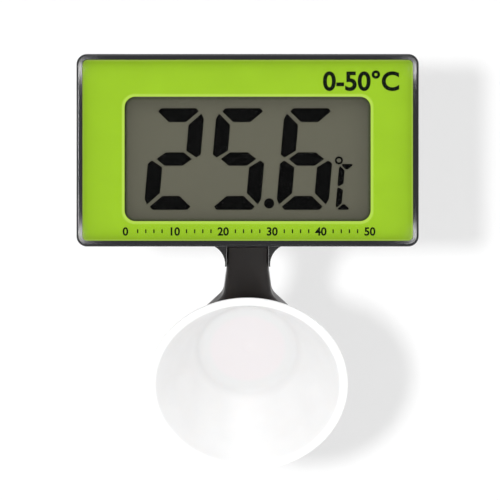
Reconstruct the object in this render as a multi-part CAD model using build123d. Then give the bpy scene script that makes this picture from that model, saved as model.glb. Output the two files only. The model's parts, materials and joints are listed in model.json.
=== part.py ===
from build123d import *
from math import cos, radians, sin, tan
import os

# A submersible digital thermometer: a flat case with a segment display, held inside
# an aquarium by a suction cup. The case tilts on a pinned arm, and the cup turns in the
# arm's eye. Millimetres, +Z up. The display faces -Y. The origin is the centre of the
# suction cup's rim, where the cup meets the glass.

# ---------------------------------------------------------------- case
# Depths are measured backwards (+Y) from the front face of the rim.
CASE_WIDTH = 56.0
CASE_HEIGHT = 31.5
CASE_CORNER = 1.7
CASE_SPLIT = 6.5          # depth of the joint between the front and rear halves
CASE_REAR = 14.6          # depth of the rear face
CASE_WALL = 2.0
RIM = 0.9                 # width of the dark rim round the face panel
RIM_ROUND = 0.35
REAR_ROUND = 1.4
PARTING_BEVEL = 0.15      # each half's share of the groove where the halves meet
REAR_WALL = 1.4
CAVITY_CORNER = 1.0
SEAL_WIDTH = 0.8          # the cord in the groove between the halves
SEAL_GROOVE_WIDTH = 0.9
SEAL_DEPTH = 0.7

# ---------------------------------------------------------------- face
PANEL_FRONT = 0.25
PANEL_BACK = 1.25
PANEL_BEVEL = 0.15
PANEL_GAP = 0.05
MARKS_BACK = 1.29         # the black scale marks lie between the panel and the green print
PRINT_BACK = 1.37
ADHESIVE_BACK = 1.5
SHELF_BACK = 2.6          # back of the wall that the display is seated against
WINDOW_WIDTH = 40.3
WINDOW_HEIGHT = 20.4
WINDOW_CORNER = 1.8
WINDOW_Z = -1.41          # the window sits a little below the middle of the case
OPENING_MARGIN = 0.35     # the hole in the wall is this much larger than the window

# ---------------------------------------------------------------- display
GLASS = 0.7
LIQUID_GAP = 0.12
SEGMENT_GAP = 0.02        # the segments stand on the rear glass, just clear of the front one
POLARIZER = 0.2
LCD_WIDTH = 42.6
LCD_BOTTOM = -12.4
LCD_REAR_TOP = 9.2        # the rear glass stops here, and leaves a ledge of contacts
LCD_FRONT_TOP = 11.6
HOLDER_WALL = 0.75
HOLDER_SLACK = 0.05
HOLDER_WINDOW = (-18.0, 18.0, -9.0, 6.0)
CELL_SEAL_WIDTH = 0.5
FILM_INSET = 0.2          # the rear polarizer stops short of the glass edge
ZEBRA_HALF_LENGTH = 19.0
ZEBRA_HALF_WIDTH = 0.8
DIGIT_HALF_WIDTH = 4.27
DIGIT_HALF_HEIGHT = 8.32
DIGIT_BAR = 2.27
DIGIT_POST = 2.42
DIGIT_SLANT = 5.0
DIGITS = [(-12.03, "abged"), (-1.5, "afgcd"), (9.63, "afgecd")]
POINT_X, POINT_Z, POINT_RADIUS = 3.52, -7.27, 0.83
DEGREE_X, DEGREE_Z, DEGREE_RADIUS, DEGREE_HOLE = 14.96, -0.23, 0.66, 0.35
UNIT_X, UNIT_Z = 16.0, -4.56
UNIT_HALF_WIDTH, UNIT_HALF_HEIGHT, UNIT_BAR, UNIT_POST = 1.3, 3.75, 0.88, 0.96

# ---------------------------------------------------------------- printed scale marks
ROW_Z = -13.2
ROW_STEP = 8.0            # from one printed number to the next
ROW_NUMBERS = [0, 10, 20, 30, 40, 50]
ROW_DIGIT_PITCH = 1.15
TICKS_BETWEEN = 4
TICK = (0.16, 0.55)
SMALL_DIGIT = (0.42, 0.62, 0.2, 0.2)    # half width, half height, bar and post
LARGE_DIGIT = (0.82, 1.55, 0.36, 0.36)
RANGE_LEFT, RANGE_Z = 12.4, 12.3
RANGE_PITCH = 2.35
RING_RADIUS, RING_HOLE = 0.5, 0.3
RING_PLACE, RING_RISE = 3.7, 1.1    # in letter steps along the range, and above its middle
LETTER_PLACE = 4.6

# ---------------------------------------------------------------- electronics
BOARD_FRONT = 6.3
BOARD_BACK = 7.3
BOARD_WIDTH = 50.0
BOARD_HEIGHT = 26.6
BOARD_CORNER = 0.8
BOARD_NOTCH = 1.5         # the corner cut-outs reach this far past the posts
POST_X, POST_Z, POST_RADIUS = 24.4, 12.2, 1.9
CASE_SCREW_RADIUS = 0.8
CASE_SCREW_HEAD = 1.6
CASE_SCREW_HEAD_THICK = 1.0
CASE_SCREW_LENGTH = 9.2
COUNTERBORE = 1.3         # the case screws' heads sit this far below the rear face
POST_FLOOR = 0.8          # solid plastic in front of a case screw's hole
BOSS_FLOOR = 1.0
BOSS_X, BOSS_Z, BOSS_RADIUS = 24.0, -1.4, 1.5
BOARD_SCREW_RADIUS = 0.6
BOARD_SCREW_HEAD = 1.3
BOARD_SCREW_HEAD_THICK = 0.8
BOARD_SCREW_LENGTH = 3.2
BLOB_X, BLOB_Z = -15.0, -7.0
BLOB_RADIUS = 3.2
BLOB_HEIGHT = 1.1
RESISTOR = (1.6, 0.8, 0.5)          # width, height and thickness
RESISTOR_PLACES = [(13.0, -10.5), (15.4, -10.5), (17.8, -10.5), (20.2, -10.5)]
CAPACITOR = (2.0, 1.25, 0.9)
CAPACITOR_PLACES = [(14.0, -7.5), (17.0, -7.5), (20.0, -7.5)]
SENSOR_X, SENSOR_Z = -19.0, 2.0
SENSOR_RADIUS = 3.0
SENSOR_WALL = 0.3
SENSOR_BACK = 15.2
SENSOR_FLANGE = 0.8
BEAD_RADIUS = 0.9
BEAD_DEPTH = 13.9
LEAD_SPACING = 1.0
LEAD_RADIUS = 0.15

# ---------------------------------------------------------------- button cell and cap
CELL_RADIUS = 5.8         # LR44: 11.6 mm across, 5.4 mm thick
CELL_THICKNESS = 5.4
CELL_FRONT = 8.6
CAN_SKIN = 0.3
CAN_BASE = 0.4
CAN_CURL = 0.8            # the can's mouth turns in by this much over the grommet
ANODE_RADIUS = 4.5
ANODE_THICK = 4.0
ANODE_EDGE = 0.3
GROMMET_RADIUS = 5.45
GROMMET_BACK = 4.4
WELL_Z = 2.6
WELL_OUTSIDE = 9.7
WELL_FRONT = 7.5
WELL_FLOOR = 8.3
WELL_BORE = 6.05
MOUTH_START = 10.9
MOUTH_BORE = 8.2
CONTACT = 0.2
CONTACT_HALF_WIDTH = 1.5
CONTACT_FOOT = 1.8
CONTACT_SLACK = 0.05
LEAF_LEFT, LEAF_RIGHT = -5.0, 2.4
DIMPLE_RADIUS = 1.2
SKIRT_INSIDE = 6.15
SKIRT_OUTSIDE = 7.6
SKIRT_FRONT = 11.0
CAP_INNER_FACE = 14.1
CAP_FLANGE = 9.4
CAP_FLANGE_FRONT = 14.65
CAP_BACK = 15.6
CAP_EDGE = 0.35
SHOULDER = 8.1
SEAL_GROOVE_FLOOR = 7.0
SEAL_GROOVE_FRONT = 13.15
SEAL_GROOVE_BACK = 14.2
O_RING = (1.12, 0.95, 0.4)    # width and thickness as squeezed, and its corner
COIN_SLOT = (12.0, 2.0, 0.8)
THREAD_PITCH = 1.5
THREAD_RISE = 1.2
THREAD_START = 11.45
THREAD_HEIGHT = 0.45
THREAD_BASE = 0.8
THREAD_CREST = 0.36

# ---------------------------------------------------------------- hinge and arm
TILT = 30.0               # the cup's axis dips this far below the display's axis
PIN_DEPTH = 11.4
PIN_DROP = 14.05          # the hinge pin is this far below the middle of the case
PIN_RADIUS = 1.0
PIN_HALF_LENGTH = 5.4
PIN_CLEARANCE = 0.04
PIN_END_BEVEL = 0.2
HINGE_BLOCK = 7.0
HINGE_FRONT = 7.5
POCKET_HALF_WIDTH = 3.47
POCKET_FRONT = 8.6
POCKET_TOP = -11.4
POCKET_WALL = 1.2
SNAP_MOUTH = 1.7
FIN_HALF_WIDTH = 5.45
FIN_DROP = 3.3
FIN_BACK = 13.4
FIN_TIP = 0.25            # thickness of a fin at its lower end
FIN_CURVE = (0.6, 1.4)    # a point on the fin's edge, out from the pocket and down
ARM_HALF_WIDTH = 3.45
ARM_WAIST = 4.0
TONGUE_LENGTH = 6.0       # from the pin to where the sides start to spread
WAIST_LENGTH = 10.7
WAIST_ROUND = 3.0
FLARE = 48.6              # where the spreading sides meet the round paddle
ARM_THICK = 2.4
ARM_EDGE = 0.4
ARM_LENGTH = 19.3         # from the hinge pin to the centre of the eye
KNUCKLE_RADIUS = 1.95
PADDLE_RADIUS = 8.8
EYE_RADIUS = 3.08

# ---------------------------------------------------------------- suction cup
CUP_RADIUS = 16.5
LIP_WIDTH = 1.4
LIP_THICK = 0.6
CUP_DEPTH = 12.0
CUP_FLOOR_RADIUS = 7.6
CUP_BASE = 2.2
CUP_BASE_RADIUS = 8.4
CUP_BASE_BEVEL = 0.6
BOWL_MIDDLE = (12.05, 5.3)    # a point on the bowl, as radius and depth
BOWL_FOOT = (8.6, 11.1)
BOWL_TURN = (8.15, 11.78)
SKIRT_MIDDLE = (12.7, 6.2)
NECK_RADIUS = 3.0
NECK_GAP = 0.15
KNOB_RADIUS = 4.5
KNOB_THICK = 3.6
KNOB_TAPER = (1.4, 1.8)

# ---------------------------------------------------------------- frames
ARM_DEPTH = CUP_DEPTH + CUP_BASE + NECK_GAP + ARM_THICK / 2
# Cup frame: local z runs from the mouth to the knob, local y down along the arm.
CUP_FRAME = Plane(
    origin=(0, 0, 0), x_dir=(1, 0, 0), z_dir=(0, cos(radians(TILT)), sin(radians(TILT)))
)
PIN_PLACE = CUP_FRAME.from_local_coords(Vector(0, -ARM_LENGTH, ARM_DEPTH))
CASE_FRONT_Y = PIN_PLACE.Y - PIN_DEPTH
CASE_MIDDLE_Z = PIN_PLACE.Z + PIN_DROP
CASE_BOTTOM = -CASE_HEIGHT / 2


def case_slab(outline, front, back):
    """A flat piece drawn as seen from the front, between two depths in the case."""
    face = Plane(
        origin=(0, CASE_FRONT_Y + front, CASE_MIDDLE_Z), x_dir=(1, 0, 0), z_dir=(0, -1, 0)
    )
    return extrude(face * outline, amount=front - back)


def rounded(width, height, corner, x=0, z=0):
    """A rectangle with round corners, centred on x and z in the case's front view."""
    return Pos(x, z) * RectangleRounded(width, height, corner)


def block(x_low, x_high, z_low, z_high):
    """A plain rectangle between two x and two z values in the case's front view."""
    middle = Pos((x_low + x_high) / 2, (z_low + z_high) / 2)
    return middle * Rectangle(x_high - x_low, z_high - z_low)


def disc(radius, x=0, z=0):
    return Pos(x, z) * Circle(radius)


def turned(points):
    """A solid of revolution about local z from (radius, z) corners."""
    outline = Plane.XZ * Polyline(points, close=True)
    return revolve(make_face(outline), axis=Axis.Z)


def in_case(solid, x, z):
    """Stands a turned piece in the case, its local z running backwards."""
    place = Plane(
        origin=(x, CASE_FRONT_Y, CASE_MIDDLE_Z + z), x_dir=(1, 0, 0), z_dir=(0, 1, 0)
    )
    return place.location * solid


def along_x(radius, half_length):
    """A cylinder on the hinge pin's axis."""
    return Pos(PIN_PLACE) * Rot(0, 90, 0) * Cylinder(radius, 2 * half_length)


def window(margin, corner=WINDOW_CORNER):
    return rounded(
        WINDOW_WIDTH + 2 * margin, WINDOW_HEIGHT + 2 * margin, corner + margin / 2, 0, WINDOW_Z
    )


def cavity():
    return rounded(CASE_WIDTH - 2 * CASE_WALL, CASE_HEIGHT - 2 * CASE_WALL, CAVITY_CORNER)


def corners():
    """The four places of the case screws."""
    return [(x, z) for x in (-POST_X, POST_X) for z in (-POST_Z, POST_Z)]


# ---------------------------------------------------------------- case shells
def front_case():
    outside = rounded(CASE_WIDTH, CASE_HEIGHT, CASE_CORNER)
    shell = case_slab(outside, 0, CASE_SPLIT)
    front_edges = shell.faces().sort_by(Axis.Y)[0].edges()
    shell = fillet(front_edges, RIM_ROUND)
    shell = chamfer(shell.faces().sort_by(Axis.Y)[-1].edges(), PARTING_BEVEL)
    panel_seat = rounded(CASE_WIDTH - 2 * RIM, CASE_HEIGHT - 2 * RIM, CASE_CORNER - RIM)
    shell -= case_slab(panel_seat, -1, ADHESIVE_BACK)
    shell -= case_slab(window(OPENING_MARGIN), ADHESIVE_BACK, SHELF_BACK)
    shell -= case_slab(cavity(), SHELF_BACK, CASE_SPLIT)
    for x, z in corners():
        shell += case_slab(disc(POST_RADIUS, x, z), SHELF_BACK, CASE_SPLIT)
        shell -= case_slab(disc(CASE_SCREW_RADIUS, x, z), SHELF_BACK + POST_FLOOR, CASE_SPLIT)
    for x in (-BOSS_X, BOSS_X):
        shell += case_slab(disc(BOSS_RADIUS, x, BOSS_Z), SHELF_BACK, BOARD_FRONT)
        shell -= case_slab(disc(BOARD_SCREW_RADIUS, x, BOSS_Z), SHELF_BACK + BOSS_FLOOR, BOARD_FRONT)
    return shell


def rear_case():
    outside = rounded(CASE_WIDTH, CASE_HEIGHT, CASE_CORNER)
    shell = case_slab(outside, CASE_SPLIT, CASE_REAR)
    shell = fillet(shell.faces().sort_by(Axis.Y)[-1].edges(), REAR_ROUND)
    shell = chamfer(shell.faces().sort_by(Axis.Y)[0].edges(), PARTING_BEVEL)
    shell -= case_slab(cavity(), CASE_SPLIT, CASE_REAR - REAR_WALL)
    shell -= seal_ring(SEAL_GROOVE_WIDTH, CASE_SPLIT, CASE_SPLIT + SEAL_DEPTH)
    shell += case_slab(disc(WELL_OUTSIDE, 0, WELL_Z), WELL_FRONT, CASE_REAR - REAR_WALL)
    shell += case_slab(
        block(-HINGE_BLOCK, HINGE_BLOCK, CASE_BOTTOM, POCKET_TOP + POCKET_WALL),
        HINGE_FRONT,
        CASE_REAR - REAR_WALL,
    )
    shell += fins()
    shell -= case_slab(disc(WELL_BORE, 0, WELL_Z), WELL_FLOOR, MOUTH_START)
    shell -= case_slab(disc(MOUTH_BORE, 0, WELL_Z), MOUTH_START, CASE_REAR)
    shell += in_case(thread_ridge(MOUTH_BORE, -1, 180), 0, WELL_Z)
    shell -= contact_slots()
    shell -= hinge_hollows()
    for x, z in corners():
        shell += case_slab(disc(POST_RADIUS, x, z), CASE_SPLIT, CASE_REAR - REAR_WALL)
        shell -= case_slab(disc(CASE_SCREW_RADIUS + 0.1, x, z), CASE_SPLIT, CASE_REAR)
        shell -= case_slab(disc(CASE_SCREW_HEAD + 0.15, x, z), CASE_REAR - COUNTERBORE, CASE_REAR)
    shell -= case_slab(
        disc(SENSOR_RADIUS, SENSOR_X, SENSOR_Z), CASE_REAR - REAR_WALL, CASE_REAR
    )
    return shell


def seal_ring(width, front, back):
    """The seal's loop, on the middle of the case wall."""
    middle = CASE_WALL / 2
    outer = rounded(
        CASE_WIDTH - 2 * middle + width, CASE_HEIGHT - 2 * middle + width, CASE_CORNER - middle / 2
    )
    inner = rounded(
        CASE_WIDTH - 2 * middle - width, CASE_HEIGHT - 2 * middle - width, CASE_CORNER - middle
    )
    return case_slab(outer - inner, front, back)


def fins():
    """Curved gussets under the case that stand either side of the arm."""
    inner = POCKET_HALF_WIDTH
    outer = FIN_HALF_WIDTH
    curve = ThreePointArc(
        (outer, CASE_BOTTOM),
        (inner + FIN_CURVE[0], CASE_BOTTOM - FIN_CURVE[1]),
        (inner + FIN_TIP, CASE_BOTTOM - FIN_DROP),
    )
    rest = Polyline(
        (inner + FIN_TIP, CASE_BOTTOM - FIN_DROP),
        (inner, CASE_BOTTOM - FIN_DROP),
        (inner, CASE_BOTTOM + 0.5),
        (outer, CASE_BOTTOM + 0.5),
        (outer, CASE_BOTTOM),
    )
    right = make_face(curve + rest)
    return case_slab(right, POCKET_FRONT, FIN_BACK) + case_slab(
        mirror(right, about=Plane.YZ), POCKET_FRONT, FIN_BACK
    )


def hinge_hollows():
    """The arm's pocket, and the snap-in sockets for the ends of the pin."""
    pocket = case_slab(
        block(-POCKET_HALF_WIDTH, POCKET_HALF_WIDTH, CASE_BOTTOM - 5, POCKET_TOP),
        POCKET_FRONT,
        CASE_REAR + 1,
    )
    reach = PIN_HALF_LENGTH + 0.1
    sockets = along_x(PIN_RADIUS + PIN_CLEARANCE, reach)
    mouths = case_slab(
        block(-reach, reach, -PIN_DROP - SNAP_MOUTH / 2, -PIN_DROP + SNAP_MOUTH / 2),
        PIN_DEPTH,
        CASE_REAR + 1,
    )
    return pocket + sockets + mouths


def thread_ridge(radius, outward, start_angle):
    """One turn-long ridge of the cap's thread, standing out of or into a bore."""
    path = Helix(pitch=THREAD_PITCH, height=THREAD_RISE, radius=radius)
    root = radius - outward * 0.1
    crest = radius + outward * THREAD_HEIGHT
    profile = Polyline(
        (root, -THREAD_BASE / 2),
        (root, THREAD_BASE / 2),
        (crest, THREAD_CREST / 2),
        (crest, -THREAD_CREST / 2),
        close=True,
    )
    ridge = sweep(make_face(Plane.XZ * profile), path=path, is_frenet=True)
    return Pos(0, 0, THREAD_START) * Rot(0, 0, start_angle) * ridge


def case_seal():
    return seal_ring(SEAL_WIDTH, CASE_SPLIT, CASE_SPLIT + SEAL_DEPTH)


def screw(shank, length, head, head_thick, seat):
    """A pan-head screw driven forwards: the head's underside is at the seat depth."""
    body = turned(
        [
            (0, seat - length),
            (shank * 0.6, seat - length),
            (shank, seat - length + shank),
            (shank, seat),
            (head, seat),
            (head, seat + head_thick * 0.6),
            (head * 0.75, seat + head_thick),
            (0, seat + head_thick),
        ]
    )
    slot_depth = head_thick * 0.5
    for angle in (0, 90):
        bar = Box(head * 1.1, head * 0.28, slot_depth)
        body -= Pos(0, 0, seat + head_thick - slot_depth / 2) * Rot(0, 0, angle) * bar
    return body


def case_screws():
    one = screw(
        CASE_SCREW_RADIUS,
        CASE_SCREW_LENGTH,
        CASE_SCREW_HEAD,
        CASE_SCREW_HEAD_THICK,
        CASE_REAR - COUNTERBORE,
    )
    return Compound([in_case(one, x, z) for x, z in corners()])


def board_screws():
    one = screw(
        BOARD_SCREW_RADIUS, BOARD_SCREW_LENGTH, BOARD_SCREW_HEAD, BOARD_SCREW_HEAD_THICK, BOARD_BACK
    )
    return Compound([in_case(one, x, BOSS_Z) for x in (-BOSS_X, BOSS_X)])


# ---------------------------------------------------------------- face
def panel_outline(inset):
    side = RIM + inset
    return rounded(CASE_WIDTH - 2 * side, CASE_HEIGHT - 2 * side, CASE_CORNER - RIM)


def face_panel():
    panel = case_slab(panel_outline(PANEL_GAP), PANEL_FRONT, PANEL_BACK)
    return chamfer(panel.faces().sort_by(Axis.Y)[0].edges(), PANEL_BEVEL)


def face_print():
    return case_slab(panel_outline(PANEL_GAP) - window(0), MARKS_BACK, PRINT_BACK)


DIGIT_SEGMENTS = {
    "0": "abcdef", "1": "bc", "2": "abged", "3": "abgcd", "4": "fgbc", "5": "afgcd", "-": "g", "C": "afed"
}


def face_marks():
    """A row of numbers with ticks under the window, and the range above it."""
    faces = []
    first = -ROW_STEP * (len(ROW_NUMBERS) - 1) / 2
    for index, number in enumerate(ROW_NUMBERS):
        middle = first + index * ROW_STEP
        text = str(number)
        for place, digit in enumerate(text):
            x = middle + (place - (len(text) - 1) / 2) * ROW_DIGIT_PITCH
            faces += segments(DIGIT_SEGMENTS[digit], x, ROW_Z, *SMALL_DIGIT)
        if index < len(ROW_NUMBERS) - 1:
            gap = ROW_STEP / (TICKS_BETWEEN + 2)
            for tick in range(TICKS_BETWEEN):
                faces.append(Pos(middle + gap * (tick + 1.5), ROW_Z) * Rectangle(*TICK))
    for place, sign in enumerate("0-50"):
        faces += segments(DIGIT_SEGMENTS[sign], RANGE_LEFT + place * RANGE_PITCH, RANGE_Z, *LARGE_DIGIT)
    ring_x = RANGE_LEFT + RING_PLACE * RANGE_PITCH
    ring_z = RANGE_Z + RING_RISE
    faces.append(disc(RING_RADIUS, ring_x, ring_z) - disc(RING_HOLE, ring_x, ring_z))
    letter_x = RANGE_LEFT + LETTER_PLACE * RANGE_PITCH
    faces += segments(DIGIT_SEGMENTS["C"], letter_x, RANGE_Z, *LARGE_DIGIT)
    return Compound([case_slab(face, PANEL_BACK, MARKS_BACK).solid() for face in faces])


def panel_adhesive():
    frame = panel_outline(0.3) - window(0.8)
    return case_slab(frame, PRINT_BACK, ADHESIVE_BACK)


# ---------------------------------------------------------------- display
CELL_GAP_FRONT = SHELF_BACK + GLASS
CELL_GAP_BACK = CELL_GAP_FRONT + LIQUID_GAP
REAR_GLASS_BACK = CELL_GAP_BACK + GLASS


def lcd_outline(top, inset=0.0):
    """The display's rectangle, from its bottom edge up to the given top."""
    half = LCD_WIDTH / 2 - inset
    return block(-half, half, LCD_BOTTOM + inset, top - inset)


def lcd_front_polarizer():
    return case_slab(window(OPENING_MARGIN - 0.1), SHELF_BACK - POLARIZER, SHELF_BACK)


def lcd_front_glass():
    return case_slab(lcd_outline(LCD_FRONT_TOP), SHELF_BACK, CELL_GAP_FRONT)


def lcd_cell_seal():
    frame = lcd_outline(LCD_REAR_TOP) - lcd_outline(LCD_REAR_TOP, CELL_SEAL_WIDTH)
    return case_slab(frame, CELL_GAP_FRONT, CELL_GAP_BACK)


def lcd_rear_glass():
    return case_slab(lcd_outline(LCD_REAR_TOP), CELL_GAP_BACK, REAR_GLASS_BACK)


def lcd_rear_polarizer():
    return case_slab(lcd_outline(LCD_REAR_TOP, FILM_INSET), REAR_GLASS_BACK, REAR_GLASS_BACK + POLARIZER)


def segment_points(letter, half_width, half_height, bar, post):
    """Corners of one upright display segment, named a to g as usual."""
    if letter == "g":
        tip = half_width - 0.6 * bar
        shoulder = half_width - 1.23 * bar
        rise = 0.48 * bar
        return [
            (-tip, 0), (-shoulder, rise), (shoulder, rise), (tip, 0), (shoulder, -rise), (-shoulder, -rise)
        ]
    if letter in "ad":
        up = 1 if letter == "a" else -1
        edge = half_width - 0.63 * bar
        tip = half_width - 0.41 * bar
        inner = half_width - 1.27 * bar
        corners_right = [(edge, half_height), (tip, half_height - 0.23 * bar), (inner, half_height - bar)]
        mirrored = [(-x, z) for x, z in reversed(corners_right)]
        return [(x, up * z) for x, z in corners_right + mirrored]
    side = 1 if letter in "bc" else -1
    up = 1 if letter in "bf" else -1
    outline = [
        (half_width - 0.2 * bar, half_height - 0.39 * bar),
        (half_width, half_height - 0.78 * bar),
        (half_width, 0.33 * bar),
        (half_width - 0.29 * bar, 0.11 * bar),
        (half_width - post, 0.6 * bar),
        (half_width - post, half_height - 1.21 * bar),
    ]
    return [(side * x, up * z) for x, z in outline]


def segments(letters, x_middle, z_middle, *size):
    """The lit segments of one character, leaning to the right."""
    lean = tan(radians(DIGIT_SLANT))
    faces = []
    for letter in letters:
        points = [(x_middle + x + z * lean, z_middle + z) for x, z in segment_points(letter, *size)]
        faces.append(make_face(Polyline(points, close=True)))
    return faces


def lcd_segments():
    digit = (DIGIT_HALF_WIDTH, DIGIT_HALF_HEIGHT, DIGIT_BAR, DIGIT_POST)
    unit = (UNIT_HALF_WIDTH, UNIT_HALF_HEIGHT, UNIT_BAR, UNIT_POST)
    faces = []
    for x, letters in DIGITS:
        faces += segments(letters, x, WINDOW_Z, *digit)
    faces += segments("afed", UNIT_X, WINDOW_Z + UNIT_Z, *unit)
    faces.append(disc(POINT_RADIUS, POINT_X, WINDOW_Z + POINT_Z))
    degree_place = (DEGREE_X, WINDOW_Z + DEGREE_Z)
    faces.append(disc(DEGREE_RADIUS, *degree_place) - disc(DEGREE_HOLE, *degree_place))
    front = CELL_GAP_FRONT + SEGMENT_GAP
    return Compound([case_slab(face, front, CELL_GAP_BACK).solid() for face in faces])


def lcd_holder():
    half = LCD_WIDTH / 2 + HOLDER_WALL
    outside = block(-half, half, LCD_BOTTOM - HOLDER_WALL, LCD_FRONT_TOP + HOLDER_WALL)
    holder = case_slab(outside, SHELF_BACK, BOARD_FRONT)
    holder -= case_slab(lcd_outline(LCD_FRONT_TOP, -HOLDER_SLACK), SHELF_BACK, CELL_GAP_FRONT)
    holder -= case_slab(
        lcd_outline(LCD_REAR_TOP, -HOLDER_SLACK), CELL_GAP_FRONT, REAR_GLASS_BACK + POLARIZER
    )
    holder -= case_slab(block(*HOLDER_WINDOW), SHELF_BACK, BOARD_FRONT)
    holder -= case_slab(zebra_outline(2 * HOLDER_SLACK), CELL_GAP_FRONT, BOARD_FRONT)
    return holder


def zebra_outline(margin):
    middle = (LCD_FRONT_TOP + LCD_REAR_TOP) / 2
    half_length = ZEBRA_HALF_LENGTH + margin
    half_width = ZEBRA_HALF_WIDTH + margin
    return block(-half_length, half_length, middle - half_width, middle + half_width)


def zebra_strip():
    return case_slab(zebra_outline(0), CELL_GAP_FRONT, BOARD_FRONT)


# ---------------------------------------------------------------- electronics
def circuit_board():
    board = rounded(BOARD_WIDTH, BOARD_HEIGHT, BOARD_CORNER)
    notch = 2 * (POST_RADIUS + 0.3 + BOARD_NOTCH)
    for x, z in corners():
        board -= Pos(x, z) * Rectangle(notch, notch)
    for x in (-BOSS_X, BOSS_X):
        board -= disc(BOARD_SCREW_RADIUS + 0.15, x, BOSS_Z)
    return case_slab(board, BOARD_FRONT, BOARD_BACK)


def chip_blob():
    """The drop of black resin that covers the chip, a shallow cap of a ball."""
    ball = (BLOB_RADIUS**2 + BLOB_HEIGHT**2) / (2 * BLOB_HEIGHT)
    dome = Pos(0, 0, BOARD_BACK + BLOB_HEIGHT - ball) * Sphere(ball)
    above_board = Pos(0, 0, BOARD_BACK + BLOB_HEIGHT) * Cylinder(2 * BLOB_RADIUS, 2 * BLOB_HEIGHT)
    return in_case(dome & above_board, BLOB_X, BLOB_Z)


def chip_row(places, width, height, thick):
    return Compound(
        [
            case_slab(rounded(width, height, 0.1, x, z), BOARD_BACK, BOARD_BACK + thick).solid()
            for x, z in places
        ]
    )


def chip_resistors():
    return chip_row(RESISTOR_PLACES, *RESISTOR)


def chip_capacitors():
    return chip_row(CAPACITOR_PLACES, *CAPACITOR)


def thermistor_bead():
    place = Pos(SENSOR_X, CASE_FRONT_Y + BEAD_DEPTH, CASE_MIDDLE_Z + SENSOR_Z)
    return place * Sphere(BEAD_RADIUS)


def thermistor_leads():
    wires = []
    for x in (SENSOR_X - LEAD_SPACING / 2, SENSOR_X + LEAD_SPACING / 2):
        wire = case_slab(disc(LEAD_RADIUS, x, SENSOR_Z), BOARD_BACK, BEAD_DEPTH)
        wires.append((wire - thermistor_bead()).solid())
    return Compound(wires)


def sensor_cap():
    """A thin metal thimble in the rear wall, where the water is felt."""
    inside = SENSOR_RADIUS - SENSOR_WALL
    flange = CASE_REAR - REAR_WALL
    thimble = turned(
        [
            (inside, flange - SENSOR_WALL),
            (SENSOR_RADIUS + SENSOR_FLANGE, flange - SENSOR_WALL),
            (SENSOR_RADIUS + SENSOR_FLANGE, flange),
            (SENSOR_RADIUS, flange),
            (SENSOR_RADIUS, SENSOR_BACK - 0.3),
            (SENSOR_RADIUS - 0.3, SENSOR_BACK),
            (0, SENSOR_BACK),
            (0, SENSOR_BACK - SENSOR_WALL),
            (inside, SENSOR_BACK - SENSOR_WALL),
        ]
    )
    return in_case(thimble, SENSOR_X, SENSOR_Z)


def sensor_potting():
    fill = case_slab(
        disc(SENSOR_RADIUS - SENSOR_WALL, SENSOR_X, SENSOR_Z),
        CASE_REAR - REAR_WALL - SENSOR_WALL,
        SENSOR_BACK - SENSOR_WALL,
    )
    return fill - thermistor_bead() - thermistor_leads()


# ---------------------------------------------------------------- button cell
def battery_can():
    inside = CELL_RADIUS - CAN_SKIN
    back = CELL_FRONT + CELL_THICKNESS
    can = turned(
        [
            (0, back),
            (inside, back),
            (CELL_RADIUS, back - CAN_SKIN),
            (CELL_RADIUS, CELL_FRONT + 0.9),
            (CELL_RADIUS - 0.5, CELL_FRONT + 0.2),
            (CELL_RADIUS - CAN_CURL, CELL_FRONT + 0.2),
            (inside, CELL_FRONT + 1.2),
            (inside, back - CAN_BASE),
            (0, back - CAN_BASE),
        ]
    )
    return in_case(can, 0, WELL_Z)


def battery_anode_cap():
    cap = turned(
        [
            (0, CELL_FRONT),
            (ANODE_RADIUS - ANODE_EDGE, CELL_FRONT),
            (ANODE_RADIUS, CELL_FRONT + ANODE_EDGE),
            (ANODE_RADIUS, CELL_FRONT + ANODE_THICK),
            (0, CELL_FRONT + ANODE_THICK),
        ]
    )
    return in_case(cap, 0, WELL_Z)


def battery_grommet():
    ring = turned(
        [
            (ANODE_RADIUS, CELL_FRONT + ANODE_EDGE),
            (CELL_RADIUS - CAN_CURL, CELL_FRONT + ANODE_EDGE),
            (GROMMET_RADIUS, CELL_FRONT + 1.3),
            (GROMMET_RADIUS, CELL_FRONT + GROMMET_BACK),
            (ANODE_RADIUS, CELL_FRONT + GROMMET_BACK),
        ]
    )
    return in_case(ring, 0, WELL_Z)


def contact_strip(x_low, x_high, slack=0.0):
    """A contact's outline, or with some slack the slot that it passes through."""
    half = CONTACT_HALF_WIDTH + slack
    return block(x_low - slack, x_high + slack, WELL_Z - half, WELL_Z + half)


def positive_contact():
    strip = contact_strip(CELL_RADIUS, CELL_RADIUS + CONTACT)
    foot = contact_strip(CELL_RADIUS, CELL_RADIUS + CONTACT_FOOT)
    spring = case_slab(strip, BOARD_BACK, MOUTH_START - 0.3)
    return spring + case_slab(foot, BOARD_BACK, BOARD_BACK + CONTACT)


def negative_contact():
    leaf = case_slab(contact_strip(LEAF_LEFT, LEAF_RIGHT), WELL_FLOOR, WELL_FLOOR + CONTACT)
    leg = case_slab(contact_strip(LEAF_LEFT, LEAF_LEFT + CONTACT), BOARD_BACK, WELL_FLOOR)
    dimple = case_slab(disc(DIMPLE_RADIUS, 0, WELL_Z), WELL_FLOOR + CONTACT, CELL_FRONT)
    return leaf + leg + dimple


def contact_slots():
    """Slots in the well's floor and wall that the two contacts pass through."""
    side = contact_strip(CELL_RADIUS, CELL_RADIUS + CONTACT, CONTACT_SLACK)
    floor = contact_strip(LEAF_LEFT, LEAF_LEFT + CONTACT, CONTACT_SLACK)
    return case_slab(side, WELL_FRONT, MOUTH_START) + case_slab(floor, WELL_FRONT, WELL_FLOOR)


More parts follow.
